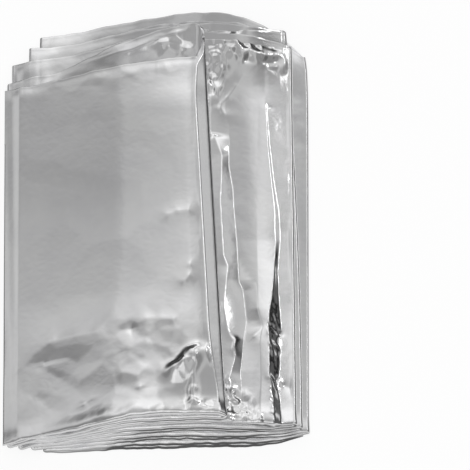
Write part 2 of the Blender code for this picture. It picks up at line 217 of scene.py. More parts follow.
# Creases: where each runs on the photo, and how high it stands there, as a share of its
# height. Its slopes reach before it and after it, left and right of a route that runs down.
Crease = namedtuple("Crease", "leaf height before after crisp route")
CREASES = (
    # Top leaf: the big soft folds at its near end.
    Crease(8, 1.1, 12.0, 7.0, True, (
        (26, 361, 0), (36, 352, 0.6), (50, 344, 1), (75, 338, 1), (95, 333, 0.9), (108, 319, 0.5),
        (122, 294, 0))),
    Crease(8, -0.55, 8.0, 7.0, True, (
        (26, 358, 0.2), (40, 366, 0.9), (60, 378, 1), (76, 388, 0.8), (92, 397, 0))),
    Crease(8, 0.7, 5.0, 4.0, True, (
        (112, 362, 0), (124, 373, 0.9), (137, 376, 1), (144, 369, 0.7), (151, 355, 0))),
    Crease(8, 0.6, 8.0, 7.0, False, (
        (60, 436, 0), (78, 424, 0.8), (104, 410, 1), (130, 401, 1), (158, 395, 1), (180, 392, 0.2))),
    # Top leaf: small crisp creases.
    Crease(8, -0.45, 1.2, 1.2, True, ((132, 328, 1), (117, 333, 0))),
    Crease(8, 0.6, 3.0, 5.0, True, (
        (132, 327, 0.5), (146, 319, 1), (160, 318, 1), (174, 320, 0.9), (187, 326, 0))),
    Crease(8, -0.45, 1.2, 1.2, True, ((132, 328, 1), (134, 341, 0))),
    Crease(8, 0.5, 2.2, 2.6, True, (
        (162, 222, 0), (168, 216, 1), (178, 212, 1), (188, 211, 0.9), (196, 214, 0.3))),
    Crease(8, 0.55, 2.0, 2.4, True, ((181, 289, 0), (184, 281, 1), (189, 276, 1), (195, 276, 0.3))),
    Crease(8, 0.35, 1.4, 1.4, True, ((186, 267, 0), (190, 265, 1), (194, 267, 0))),
    Crease(8, 2.5, 6.0, 3.0, False, (
        (169, 372, 0), (174, 369, 0.9), (182, 364, 1), (190, 355, 1), (196, 351, 0.7), (201, 350, 0))),
    Crease(8, 1.0, 1.1, 3.0, False, ((194, 374, 0), (192, 388, 1), (191.5, 400, 1), (191, 413, 0))),
    Crease(8, 0.35, 1.0, 1.2, True, ((199, 352, 0.4), (196, 368, 1), (193, 386, 0.4))),
    Crease(8, 0.4, 1.8, 2.0, True, ((72, 410, 0), (84, 404, 1), (92, 398, 0.5), (104, 394, 0))),
    Crease(8, 0.4, 1.8, 2.0, True, ((134, 392, 0), (140, 387, 1), (150, 385, 0))),
    Crease(8, -0.7, 0.9, 0.9, True, ((84, 430, 0), (98, 424, 1), (112, 424, 0))),
    # Top leaf: creases along its far edge.
    Crease(8, 0.22, 1.8, 1.8, True, ((36, 88, 0), (60, 81, 1), (92, 71, 1), (116, 62, 1), (124, 59, 0.2))),
    Crease(8, -0.25, 0.6, 0.6, True, (
        (125, 61, 0), (130, 59, 1), (134, 59, 0.1), (139, 58, 1), (142, 58, 0.1), (148, 57, 1),
        (153, 58, 0))),
    Crease(8, 0.3, 1.2, 1.2, True, ((188, 53, 0.2), (193, 52, 1), (197, 54, 0.2))),
    # Tucked leaf: the bent lip beyond the top leaf.
    Crease(7, -0.35, 0.7, 0.8, True, (
        (154, 43, 0), (160, 41, 1), (170, 40, 1), (178, 42, 0.6), (186, 47, 1), (191, 50, 0))),
    Crease(7, -0.25, 0.6, 0.6, True, ((158, 46, 0), (162, 46, 1), (166, 47, 0))),
    Crease(7, 0.6, 2.0, 2.0, True, ((60, 70, 0), (90, 60, 1), (130, 50, 1), (176, 33, 1), (196, 26, 0))),
    Crease(4, -2.2, 1.2, 1.4, True, (
        (206, 31, 0), (214, 30, 1), (226, 28.8, 1), (236, 27.5, 0.9), (243, 29, 0))),
    Crease(2, -0.7, 0.7, 0.8, True, (
        (164, 25, 0), (168, 24, 1), (173, 24, 0.2), (178, 23, 1), (186, 22, 0))),
    # Open leaf: its crumpled far end and the small creases beside its long ones.
    Crease(6, 0.45, 1.5, 1.8, True, (
        (246, 72, 0), (236, 86, 0.8), (228, 97, 1), (222, 103, 1), (220.5, 108, 1), (224, 114, 1),
        (228, 118, 0))),
    Crease(6, 0.6, 1.0, 1.2, True, ((225, 56, 0), (227, 66, 1), (224, 78, 1), (219, 90, 1), (217, 103, 0))),
    Crease(6, -0.9, 1.6, 1.8, True, ((208, 72, 0), (212, 78, 1), (212, 88, 0.8), (210, 96, 0))),
    Crease(6, -0.7, 0.9, 1.0, True, ((205, 52, 0), (211, 48, 1), (219, 47, 0.8), (225, 52, 0))),
    Crease(6, 0.5, 0.9, 0.9, True, ((203, 66, 0), (206, 62, 1), (209, 68, 0))),
    Crease(6, -0.15, 0.8, 0.8, True, ((266, 104, 0), (271, 108, 1), (276, 112, 0))),
    Crease(6, -1.1, 1.0, 1.2, True, ((260, 41, 0), (264, 43, 1), (274, 46, 1), (284, 49, 0))),
    Crease(6, -2.0, 1.0, 1.4, True, ((238, 40, 0.3), (243, 39, 1), (245, 43, 0.6))),
    Crease(6, -2.0, 1.0, 1.4, True, ((249, 40, 0.3), (253, 39, 1), (256, 43, 0.6))),
    Crease(6, 0.7, 0.8, 0.8, True, ((234, 37, 0), (237, 40, 1), (235, 45, 0))),
    Crease(6, -0.9, 0.8, 0.9, True, ((266, 326, 0), (272, 329, 1), (279, 334, 1), (284, 334, 0))),
    Crease(6, 0.8, 0.7, 0.7, True, ((266, 334, 0), (273, 337, 1), (281, 336, 0.4))),
    Crease(6, 0.7, 0.8, 0.8, True, ((266, 378, 0), (270, 380, 1), (276, 376, 0.3))),
    Crease(6, 0.6, 1.6, 2.0, True, ((246, 342, 0), (254, 337, 1), (262, 331, 0.3))),
    Crease(6, -0.5, 2.0, 2.4, True, ((276, 378, 0), (284, 385, 1), (293, 388, 0.8), (303, 392, 0))),
    Crease(6, 0.7, 0.8, 0.8, True, ((232, 336, 0), (236, 340, 1), (233, 350, 0.6), (234, 358, 0))),
)

# How sharply the stretches of a crease's route give way to each other.
CREASE_BLEND = 8
# How full the flanks of a crisp crease are.
CRISP_SWELL = 0.3
TINY = 1e-6

# Crumpled patches: centre on the photo, half sizes and slope of their facets.
Patch = namedtuple("Patch", "leaf u v half_u half_v cell slope")
PATCHES = (
    Patch(8, 90, 372, 80, 50, 9.0, 0.034),
    Patch(8, 150, 340, 45, 34, 5.0, 0.055),
    Patch(8, 185, 358, 11, 8, 1.5, 0.24),
    Patch(8, 190, 397, 4, 12, 1.4, 0.25),
    Patch(8, 195, 368, 2, 18, 1.2, 0.25),
    Patch(8, 110, 190, 105, 150, 22.0, 0.012),
    Patch(8, 140, 414, 60, 12, 3.5, 0.07),
    Patch(8, 30, 444, 34, 9, 3.0, 0.30),
    Patch(8, 205, 405, 22, 8, 2.5, 0.22),
    Patch(8, 90, 76, 100, 16, 7.0, 0.025),
    Patch(8, 150, 64, 50, 12, 4.0, 0.03),
    Patch(7, 100, 55, 90, 20, 9.0, 0.07),
    Patch(7, 175, 45, 30, 16, 5.0, 0.09),
    Patch(6, 232, 220, 14, 60, 5.0, 0.02),
    Patch(6, 236, 404, 16, 16, 2.2, 0.36),
    Patch(6, 255, 418, 30, 7, 2.2, 0.26),
    Patch(6, 240, 48, 32, 12, 3.0, 0.25),
    Patch(6, 272, 60, 26, 10, 3.0, 0.12),
    Patch(6, 213, 72, 13, 28, 3.2, 0.22),
    Patch(6, 274, 355, 5, 56, 1.6, 0.30),
    Patch(6, 227, 388, 4, 12, 1.6, 0.30),
    Patch(6, 292, 250, 18, 190, 9.0, 0.012),
)
LOWER_CELL = 6.0
LOWER_SLOPE = 0.03
LOWER_SEED = 50
# Facets come from a table that repeats: its size, how far their middles stray and how they end.
FACET_TABLE = 64
FACET_JITTER = 0.45
FACET_ROUND = 1.1
FACET_HEIGHT = 0.5

# Fineness of the film's mesh, in millimetres.
TOP_STEP_X = 0.60
FLANK_STEP_X = 0.30
FLANK_END_X = 18.0
OPEN_STEP_X = 0.36
OPEN_END_X = 22.0
OPEN_COVERED_STEP_X = 1.6
HIDDEN_STEP_X = 3.0
HIDDEN_END_X = 45.0
RIGHT_EDGE_STEP_X = 1.0
TUCKED_STEP_X = 1.3
LOWER_STEP_X = 1.5
ARCHED_STEP_X = 1.2
# Rows from the near rim to the far one: the share of the length and the steps up to it.
TOP_ROWS = ((0.08, 22), (0.92, 146), (1.0, 22))
UNDER_ROWS = ((0.05, 12), (0.75, 60), (1.0, 60))
OPEN_ROWS = ((1.0, 235),)
LOWER_ROWS = ((0.04, 8), (0.75, 20), (1.0, 46))
FOLD_STEPS = 15
PROFILE_STEP = 0.25
RIM_STEPS = 8
RIM_BULGE = 0.34
RIM_POWER = 0.7
NEAR_RIM_GAP = 0.06
RIM_GROOVE = 0.12
RIM_GROOVE_ANGLE = 1.5
RIM_GROOVE_WIDTH = 0.3
# The near rims are uneven below a height, about one place across.
RIM_CRUMPLE = 0.16
RIM_CRUMPLE_Z = 13.0
RIM_CRUMPLE_BLEND = 5.0
RIM_CRUMPLE_X = 12.0
RIM_CRUMPLE_REACH = 40.0
RIM_CRUMPLE_SLANT = 3.0
RIM_CRUMPLE_LENGTH = 5.0
RIM_CRUMPLE_SEED = 77
NEAR_SWELL_LENGTH = 5.0
NEAR_FILL_LENGTH = 6.0
FADE_WIDTH = 1.5
FAR_TAPER = 0.3
FAR_TAPER_LENGTH = 3.0
SHARP_ANGLE = math.radians(65.0)
SEAM_X = 2.0
SHEAR_ANCHOR_X = -20.0
SOLVE_STEPS = 4


def smoothstep(value):
    value = np.clip(value, 0.0, 1.0)
    return value * value * (3.0 - 2.0 * value)


def rise(distance, width):
    return 1.0 - np.exp(-(np.maximum(distance, 0.0) / width) ** 2)


def loft(x):
    return rise(x - LOFT_LEFT_X, LOFT_LEFT_WIDTH) * rise(LOFT_RIGHT_X - x, LOFT_RIGHT_WIDTH)


def thickness(x):
    return EDGE_THICKNESS + LOFT_THICKNESS * loft(x)


def end_y(x, left, ridge, right):
    to_ridge = smoothstep((x - LEFT_EDGE_X) / (RIDGE_X - LEFT_EDGE_X))
    past_ridge = np.clip((x - RIDGE_X) / (RIGHT_EDGE_X - RIDGE_X), 0.0, 1.0) ** RIGHT_EDGE_POWER
    return left + (ridge - left) * to_ridge + (right - ridge) * past_ridge


def ripple(x, seed, longest):
    """An uneven wave of about -1 to 1 along x, the same each run."""
    phases = np.random.default_rng(seed).uniform(0.0, 2.0 * math.pi, RIPPLE_WAVES)
    waves = [np.sin(2.0 * math.pi * x * (1.0 + RIPPLE_STEP * k) / longest + phases[k]) / (1.0 + k)
             for k in range(RIPPLE_WAVES)]
    return sum(waves) / RIPPLE_SUM


def leaf_y(leaf, x, along):
    row = LEAVES[leaf]
    near = end_y(x, row.near_left, row.near_ridge, row.near_right)
    near = near + NEAR_RIPPLE * ripple(x, leaf, NEAR_RIPPLE_LENGTH)
    far = end_y(x, row.far_left, row.far_ridge, row.far_right)
    far = far + FAR_RIPPLE * ripple(x, leaf + FAR_RIPPLE_SEED, FAR_RIPPLE_LENGTH)
    return near + (far - near) * along


def fold_x(fold, y):
    row = FOLDS[fold]
    share = np.clip((y - NEAR_Y) / (FAR_Y - NEAR_Y), 0.0, 1.0) ** row.bend
    return row.near_x + (row.far_x - row.near_x) * share


def spring(x, y):
    across = smoothstep((x - LOFT_LEFT_X) / (RIDGE_X - LOFT_LEFT_X)) * loft(x)
    return across * (np.maximum(y - LIFT_START_Y, 0.0) / LIFT_LENGTH) ** 2


def leaf_z(leaf, x, y):
    """Underside of a leaf, without its creases."""
    height = np.zeros_like(x)
    for lower in range(leaf):
        reach = fold_x(lower - lower % 2, y) - DROOP_CLEARANCE - DROOP_WIDTH
        pitch = EDGE_PITCH + LOFT_PITCH * loft(x)
        height += pitch * smoothstep((x - reach) / DROOP_WIDTH)
    height += LIFT_HEIGHT * (1.0 - math.exp(-leaf / LIFT_SPREAD)) * spring(x, y)
    if leaf > OPEN_LEAF:
        height += TOP_FOLD_GAP
    if leaf == TOP_LEAF:
        inside = (fold_x(TUCKED_LEAF, y) - x) / TOP_FOLD_WIDTH
        near = smoothstep((y - TOP_FOLD_NEAR_Y) / TOP_FOLD_NEAR_LENGTH)
        far = 1.0 - (1.0 - TOP_FOLD_FAR_SHARE) * smoothstep((y - TOP_FOLD_FAR_Y) / TOP_FOLD_FAR_LENGTH)
        height += TOP_FOLD_LIFT * np.exp(-inside ** 2) * near * far
    near = np.clip((NEAR_RISE_Y - y) / NEAR_RISE_LENGTH, 0.0, 2.0)
    height += NEAR_RISE * leaf / TOP_LEAF * near ** 2 / (near + NEAR_RISE_START)
    return height


def on_leaf(leaf, u, v):
    """Millimetres of a photo pixel on the upper side of a leaf."""
    x = (np.asarray(u, float) - PACK_U) * MM_PER_PIXEL
    up = (FRAME_CENTRE - np.asarray(v, float)) * MM_PER_PIXEL
    y = up / math.sin(ELEVATION)
    for _ in range(SOLVE_STEPS):
        z = leaf_z(leaf, x, y) + thickness(x)
        y = (up - z * math.cos(ELEVATION)) / math.sin(ELEVATION)
    return x, y


def crease_height(crease, x, y):
    """Height that one crease adds: it falls away on both sides of its route."""
    u, v, share = np.array(crease.route, float).T
    route_x, route_y = on_leaf(crease.leaf, u, v)
    total = np.zeros(x.shape)
    for k in range(len(u) - 1):
        step_x = route_x[k + 1] - route_x[k]
        step_y = route_y[k + 1] - route_y[k]
        along = ((x - route_x[k]) * step_x + (y - route_y[k]) * step_y) / (step_x ** 2 + step_y ** 2)
        along = np.clip(along, 0.0, 1.0)
        off_x = x - route_x[k] - along * step_x
        off_y = y - route_y[k] - along * step_y
        gap = np.hypot(off_x, off_y)
        # -1 straight before the route, 1 straight after it, and between the two past an end.
        side = (step_x * off_y - step_y * off_x) / (math.hypot(step_x, step_y) * np.maximum(gap, TINY))
        form = gap / ((crease.before + crease.after) / 2.0 + (crease.after - crease.before) / 2.0 * side)
        level = share[k] + (share[k + 1] - share[k]) * along
        fall = np.exp(-form) * (1.0 + CRISP_SWELL * form) if crease.crisp else np.exp(-form ** 2)
        total += (level * fall) ** CREASE_BLEND
    return crease.height * total ** (1.0 / CREASE_BLEND)


def facets(x, y, cell, seed):
    """Crumpled film: flat facets of about one cell that meet in sharp lines, slope about 1."""
    total = np.zeros(x.shape)
    for sign, part in ((1.0, 0), (-1.0, 1)):
        rng = np.random.default_rng([seed, part])
        jitter = rng.uniform(-FACET_JITTER, FACET_JITTER, (FACET_TABLE, FACET_TABLE, 2))
        tilt = rng.normal(0.0, 1.0, (FACET_TABLE, FACET_TABLE, 2))
        column = np.floor(x / cell).astype(int)
        row = np.floor(y / cell).astype(int)
        best = np.full(x.shape, -np.inf)
        for i in range(-2, 3):
            for j in range(-2, 3):
                a = (column + i) % FACET_TABLE
                b = (row + j) % FACET_TABLE
                off_x = x / cell - (column + i + 0.5 + jitter[a, b, 0])
                off_y = y / cell - (row + j + 0.5 + jitter[a, b, 1])
                plane = tilt[a, b, 0] * off_x + tilt[a, b, 1] * off_y
                best = np.maximum(best, plane - FACET_ROUND * (off_x ** 2 + off_y ** 2))
        total += sign * best
    return total * cell * FACET_HEIGHT


def fold_line_height(leaf, x, y):
    """Height between a leaf's fold lines, which run across every y of the leaf."""
    total = np.zeros(x.shape)
    rows = FOLD_LINES.get(leaf, ())
    places = []
    for row in rows:
        line_x, line_y = on_leaf(leaf, [point.u for point in row], [point.v for point in row])
        order = np.argsort(line_y)
        line_y = line_y[order]
        places.append((np.interp(y, line_y, line_x[order]),
                       np.interp(y, line_y, np.array([point.height for point in row])[order])))
    for (left_x, left_z), (right_x, right_z) in zip(places, places[1:]):
        share = (x - left_x) / (right_x - left_x)
        total = np.where((share >= 0.0) & (share < 1.0), left_z + (right_z - left_z) * share, total)
    return total


def taut_height(x, y):
    """What straightens the top leaf between the places of TAUT_U."""
    left_x, right_x = [(u - PACK_U) * MM_PER_PIXEL for u in TAUT_U]
    left_z = leaf_z(TOP_LEAF, np.full_like(x, left_x), y)
    right_z = leaf_z(TOP_LEAF, np.full_like(x, right_x), y)
    share = np.clip((x - left_x) / (right_x - left_x), 0.0, 1.0)
    inside = (share > 0.0) & (share < 1.0)
    return np.where(inside, left_z + (right_z - left_z) * share - leaf_z(TOP_LEAF, x, y), 0.0)


def leaf_detail(leaf, x, y):
    """Fold lines, creases and crumpled patches of a leaf, added to its height."""
    total = fold_line_height(leaf, x, y)
    if leaf == TOP_LEAF:
        total += taut_height(x, y)
    for crease in CREASES:
        if crease.leaf == leaf:
            total += crease_height(crease, x, y)
    for seed, patch in enumerate(PATCHES):
        if patch.leaf == leaf:
            centre_x, centre_y = on_leaf(leaf, patch.u, patch.v)
            reach_x = patch.half_u * MM_PER_PIXEL
            reach_y = patch.half_v * MM_PER_PIXEL / math.sin(ELEVATION)
            away = ((x - centre_x) / reach_x) ** 2 + ((y - centre_y) / reach_y) ** 2
            total += patch.slope * np.exp(-away ** 2) * facets(x, y, patch.cell, seed)
    if leaf < OPEN_LEAF:
        total += LOWER_SLOPE * facets(x, y, LOWER_CELL, LOWER_SEED + leaf)
    return total


def film_thickness(x, along, length):
    """Full at the near rim, where the folds are packed, and thinning out at the far rim."""
    plain = thickness(x)
    packed = EDGE_PITCH + LOFT_PITCH * loft(x) + NEAR_RISE / TOP_LEAF - NEAR_RIM_GAP
    near = np.exp(-(along * length / NEAR_SWELL_LENGTH) ** 2)
    far = np.exp(-((1.0 - along) * length / FAR_TAPER_LENGTH) ** 2)
    return (plain + (packed - plain) * near) * (1.0 - FAR_TAPER * far)


def fold_circle(fold, y):
    side = FOLDS[fold].side
    reach = TOP_FOLD_REACH if fold == TUCKED_LEAF else 1.0
    outer = fold_x(fold, y)
    x = outer - side
    for _ in range(SOLVE_STEPS + 2):
        radius = (leaf_z(fold + 1, x, y) - leaf_z(fold, x, y)) / 2.0
        x = outer - side * (reach * radius + thickness(x) / 2.0)
    return x, leaf_z(fold, x, y) + thickness(x) / 2.0 + radius, radius


def leaf_end_x(leaf, last, y):
    fold = leaf if last else leaf - 1
    if fold < 0:
        return np.full_like(y, BOTTOM_LEAF_END_X)
    if fold == len(FOLDS):
        return np.full_like(y, TOP_LEAF_END_X)
    return fold_circle(fold, y)[0]


def fade_to_fold(leaf, x, y):
    """1 on a leaf, falling to 0 where it turns into a fold, so that the two still meet."""
    first = np.abs(x - leaf_end_x(leaf, False, y))
    last = np.abs(x - leaf_end_x(leaf, True, y))
    return smoothstep(np.minimum(first, last) / FADE_WIDTH)


def leaf_section(leaf, stations, along):
    """Middle of the film on a grid over a leaf: its stations run from first end to last."""
    shape = (len(stations), len(along))
    x = np.broadcast_to(stations[:, None], shape).copy()
    y = np.broadcast_to((NEAR_Y + (FAR_Y - NEAR_Y) * along)[None, :], shape).copy()
    level = np.zeros(1)
    first_middle = leaf_end_x(leaf, False, level)[0]
    last_middle = leaf_end_x(leaf, True, level)[0]
    toward_last = (stations - SHEAR_ANCHOR_X) / (last_middle - SHEAR_ANCHOR_X)
    toward_first = (stations - SHEAR_ANCHOR_X) / (first_middle - SHEAR_ANCHOR_X)
    toward_last = np.clip(toward_last, 0.0, 1.0)[:, None]
    toward_first = np.clip(toward_first, 0.0, 1.0)[:, None]
    for _ in range(SOLVE_STEPS):
        first = leaf_end_x(leaf, False, y) - first_middle
        last = leaf_end_x(leaf, True, y) - last_middle
        x = stations[:, None] + first * toward_first + last * toward_last
        y = leaf_y(leaf, x, along[None, :])
    length = leaf_y(leaf, x, 1.0) - leaf_y(leaf, x, 0.0)
    thick = film_thickness(x, along[None, :], length)
    detail = leaf_detail(leaf, x, y) * fade_to_fold(leaf, x, y)
    # At the near rim the film is as thick as its creases are high there, so that no gap opens.
    filled = np.maximum(detail, 0.0) * np.exp(-(along[None, :] * length / NEAR_FILL_LENGTH) ** 2)
    thick = thick + filled
    z = leaf_z(leaf, x, y) + detail - filled + thick / 2.0
    facing = np.zeros(shape + (3,))
    facing[..., 2] = -1.0 if leaf % 2 == 0 else 1.0
    return np.stack([x, y, z], axis=2), facing, thick


def fold_section(fold, along):
    """The same on the lines inside a fold."""
    side = FOLDS[fold].side
    angle = np.linspace(0.0, math.pi, FOLD_STEPS + 1)[1:-1][:, None]
    upper_share = (1.0 - np.cos(angle)) / 2.0
    y = np.broadcast_to((NEAR_Y + (FAR_Y - NEAR_Y) * along)[None, :], (len(angle), len(along)))
    for _ in range(SOLVE_STEPS):
        x, middle, radius = fold_circle(fold, y)
        lower_y = leaf_y(fold, x, along[None, :])
        y = lower_y + (leaf_y(fold + 1, x, along[None, :]) - lower_y) * upper_share
    length = leaf_y(fold, x, 1.0) - leaf_y(fold, x, 0.0)
    thick = film_thickness(x, along[None, :], length)
    # Where the film is swollen or thinned, its middle moves with it on both leaves.
    middle = middle + (thick - thickness(x)) / 2.0
    reach, level, face_x, face_z = fold_profile(fold, angle)
    ones = np.ones_like(x)
    place = np.stack([x + side * reach * radius, y, middle + level * radius], axis=2)
    outward = np.stack([side * face_x * ones, 0.0 * ones, face_z * ones], axis=2)
    return place, -side * outward, thick


def fold_profile(fold, angle):
    """Section of a fold in radii, from the lower leaf to the upper one, and the way it faces."""
    if fold != TUCKED_LEAF:
        return np.sin(angle), -np.cos(angle), np.sin(angle), -np.cos(angle)
    share = angle / math.pi * (len(TOP_FOLD_SECTION) - 1)
    corner = np.arange(len(TOP_FOLD_SECTION))
    reaches, levels = np.array(TOP_FOLD_SECTION).T
    reach = np.interp(share, corner, reaches)
    level = np.interp(share, corner, levels)
    after = share + PROFILE_STEP
    before = share - PROFILE_STEP
    slope_reach = np.interp(after, corner, reaches) - np.interp(before, corner, reaches)
    slope_level = np.interp(after, corner, levels) - np.interp(before, corner, levels)
    size = np.hypot(slope_reach, slope_level)
    return reach, level, slope_level / size, -slope_reach / size


def section_rings(section):
    """Closed loops round the film: first side, far rim, second side, near rim."""
    middle, facing, thick = section
    half = facing * (thick / 2.0)[..., None]
    first_side = middle + half
    second_side = (middle - half)[:, ::-1]
    angles = np.linspace(0.0, math.pi, RIM_STEPS + 2)[1:-1]
    # Two plies show at each rim, with a faint groove between them.
    groove = RIM_GROOVE * np.exp(-((angles - RIM_GROOVE_ANGLE) / RIM_GROOVE_WIDTH) ** 2)
    bulge = RIM_BULGE * np.sin(angles) ** RIM_POWER * (1.0 - groove)
    rims = []
    for end, way, order in ((-1, 1.0, 1.0), (0, -1.0, -1.0)):
        rim = middle[:, end][:, None, :] + order * half[:, end][:, None, :] * np.cos(angles)[None, :, None]
        place_x, _, place_z = middle[:, end].T
        low = smoothstep((RIM_CRUMPLE_Z - place_z) / RIM_CRUMPLE_BLEND)
        low = low * np.exp(-((place_x - RIM_CRUMPLE_X) / RIM_CRUMPLE_REACH) ** 4)
        wave = ripple(place_x + RIM_CRUMPLE_SLANT * place_z, RIM_CRUMPLE_SEED, RIM_CRUMPLE_LENGTH)
        crumple = 1.0 + RIM_CRUMPLE * low * wave
        rim[..., 1] += way * bulge[None, :] * (thick[:, end] * crumple)[:, None]
        rims.append(rim)
    return np.concatenate([first_side, rims[0], second_side, rims[1]], axis=1)


def rings_mesh(name, rings):
    columns, ring, _ = rings.shape
    start = (np.arange(columns - 1) * ring)[:, None]
    step = np.arange(ring)[None, :]
    after = (step + 1) % ring
    quads = np.stack([start + step, start + ring + step, start + ring + after, start + after], axis=2)
    faces = quads.reshape(-1, 4).tolist()
    side = (ring - 2 * RIM_STEPS) // 2
    for base, flip in ((0, False), ((columns - 1) * ring, True)):
        cap = [(k, k + 1, 2 * side + RIM_STEPS - 2 - k, 2 * side + RIM_STEPS - 1 - k)
               for k in range(side - 1)]
        cap.append(tuple(range(side - 1, side + RIM_STEPS + 1)))
        cap.append(tuple(range(2 * side + RIM_STEPS - 1, ring)) + (0,))
        for face in cap:
            face = tuple(base + point for point in face)
            faces.append(face[::-1] if flip else face)
    mesh = bpy.data.meshes.new(name)
    mesh.from_pydata((rings.reshape(-1, 3) * MM).tolist(), [], faces)
    mesh.validate()
    mesh.shade_smooth()
    mesh.set_sharp_from_angle(angle=SHARP_ANGLE)
    piece = bpy.data.objects.new(name, mesh)
    bpy.context.scene.collection.objects.link(piece)
    return piece


def spaced(start, stop, step):
    return np.linspace(start, stop, max(2, int(round(abs(stop - start) / step)) + 1))


def leaf_columns(leaf, spans):
    """Stations over parts of a leaf: spans are (from, to, step), where None is the leaf's end."""
    level = np.zeros(1)
    ends = (leaf_end_x(leaf, False, level)[0], leaf_end_x(leaf, True, level)[0])
    stations = []
    for start, stop, step in spans:
        start = ends[0] if start is None else start
        stop = ends[1] if stop is None else stop
        stations.extend(spaced(start, stop, step)[1 if stations else 0:])
    return np.array(stations)


def film_piece(name, parts, along):
    """One stretch of the strip: parts are (leaf, spans) or a fold's number."""
    rings = []
    for part in parts:
        if isinstance(part, int):
            rings.append(section_rings(fold_section(part, along)))
        else:
            leaf, spans = part
            rings.append(section_rings(leaf_section(leaf, leaf_columns(leaf, spans), along)))
    return rings_mesh(name, np.concatenate(rings))


def rows_by_part(parts):
    """Shares along a leaf: each part runs to a share, in a number of steps."""
    rows = [np.zeros(1)]
    for stop, steps in parts:
        rows.append(np.linspace(rows[-1][-1], stop, steps + 1)[1:])
    return np.concatenate(rows)


def build_film():
    top = film_piece("film_top", (
        (7, ((0.0, None, TOP_STEP_X),)),
        7,
        (8, ((None, FLANK_END_X, FLANK_STEP_X), (FLANK_END_X, None, TOP_STEP_X))),
    ), rows_by_part(TOP_ROWS))
    under = film_piece("film_under", (
        (6, ((SEAM_X, None, LOWER_STEP_X),)),
        6,
        (7, ((None, 0.0, TUCKED_STEP_X),)),
    ), rows_by_part(UNDER_ROWS))
    open_side = film_piece("film_open_side", (
        (5, ((SEAM_X, HIDDEN_END_X, HIDDEN_STEP_X), (HIDDEN_END_X, None, RIGHT_EDGE_STEP_X))),
        5,
        (6, ((None, OPEN_END_X, OPEN_STEP_X), (OPEN_END_X, SEAM_X, OPEN_COVERED_STEP_X))),
    ), rows_by_part(OPEN_ROWS))
    lower = film_piece("film_lower", (
        (0, ((None, None, LOWER_STEP_X),)), 0,
        (1, ((None, None, LOWER_STEP_X),)), 1,
        (2, ((None, None, LOWER_STEP_X),)), 2,
        (3, ((None, None, LOWER_STEP_X),)), 3,
        (4, ((None, None, ARCHED_STEP_X),)), 4,
        (5, ((None, SEAM_X, LOWER_STEP_X),)),
    ), rows_by_part(LOWER_ROWS))
    return [top, under, open_side, lower]


def settle(pieces):
    """Shifts the film from the page's middle to the solid's, and keeps it above the floor."""
    for piece in pieces:
        values = np.empty(len(piece.data.vertices) * 3)
        piece.data.vertices.foreach_get("co", values)
        grid = values.reshape(-1, 3)
        grid[:, 1] += PAGE_SHIFT_Y * MM
        grid[:, 2] = np.maximum(grid[:, 2], 0.0)
        piece.data.vertices.foreach_set("co", grid.ravel())
        piece.data.update()


def new_node(tree, kind, **inputs):
    node = tree.nodes.new(kind)
    for key, value in inputs.items():
        node.inputs[key].default_value = value
    return node


def foil_material():
    """Mirror-bright film, dulled a little unevenly, with fine crinkles between the creases."""
    material = bpy.data.materials.new("metallised_film")
    material.use_nodes = True
    tree = material.node_tree
    shader = tree.nodes["Principled BSDF"]
    shader.inputs["Metallic"].default_value = 1.0
    place = new_node(tree, "ShaderNodeTexCoord").outputs["Object"]

    haze = new_node(tree, "ShaderNodeTexNoise", Scale=38.0, Detail=4.0, Roughness=0.6)
    tree.links.new(place, haze.inputs["Vector"])
    rough = tree.nodes.new("ShaderNodeMapRange")
    rough.inputs["To Min"].default_value = 0.08
    rough.inputs["To Max"].default_value = 0.16
    tree.links.new(haze.outputs["Fac"], rough.inputs["Value"])
    tree.links.new(rough.outputs["Result"], shader.inputs["Roughness"])

    tint = tree.nodes.new("ShaderNodeValToRGB")
    tint.color_ramp.elements[0].position = 0.35
    tint.color_ramp.elements[0].color = (0.80, 0.80, 0.81, 1.0)
    tint.color_ramp.elements[1].position = 0.70
    tint.color_ramp.elements[1].color = (0.87, 0.87, 0.87, 1.0)
    tree.links.new(haze.outputs["Fac"], tint.inputs["Fac"])
    tree.links.new(tint.outputs["Color"], shader.inputs["Base Color"])

    crinkle = new_node(tree, "ShaderNodeTexVoronoi", Scale=260.0)
    crinkle.feature = "DISTANCE_TO_EDGE"
    tree.links.new(place, crinkle.inputs["Vector"])
    grain = new_node(tree, "ShaderNodeTexNoise", Scale=420.0, Detail=3.0)
    tree.links.new(place, grain.inputs["Vector"])
    fine = new_node(tree, "ShaderNodeBump", Strength=0.05, Distance=0.0003)
    tree.links.new(grain.outputs["Fac"], fine.inputs["Height"])
    bump = new_node(tree, "ShaderNodeBump", Strength=0.025, Distance=0.001)
    tree.links.new(crinkle.outputs["Distance"], bump.inputs["Height"])
    tree.links.new(fine.outputs["Normal"], bump.inputs["Normal"])
    tree.links.new(bump.outputs["Normal"], shader.inputs["Normal"])
    return material


# A band is a place along a ramp and the brightness there.
Band = namedtuple("Band", "place level")

# The floor shows pale. In the film it is dark, a painted shade, but for a painted glowing frame round the
# pack, in metres.
FLOOR_SEEN_LEVEL = 0.88
FLOOR_SIDE_X = 0.054
FLOOR_PACK_Y = 0.107
FLOOR_GLOW_REACH = 0.10
FLOOR_PAINTED_SHADOW_LEFT = -0.004
FLOOR_PAINTED_SHADOW_RIGHT = 0.044
FLOOR_LEFT_BLEND = 0.02
FLOOR_RIGHT_BLEND = 0.01
FLOOR_BESIDE_LEAD = 0.009
# Painted glow of that frame, from the pack outwards: dark at the pack as a painted shadow, then bright.
FLOOR_GLOW_BANDS = (
    Band(0.0, 0.02), Band(0.05, 0.03), Band(0.09, 0.40), Band(0.13, 0.66), Band(0.35, 0.66),
    Band(0.55, 0.0),
    Band(1.0, 0.0),
)


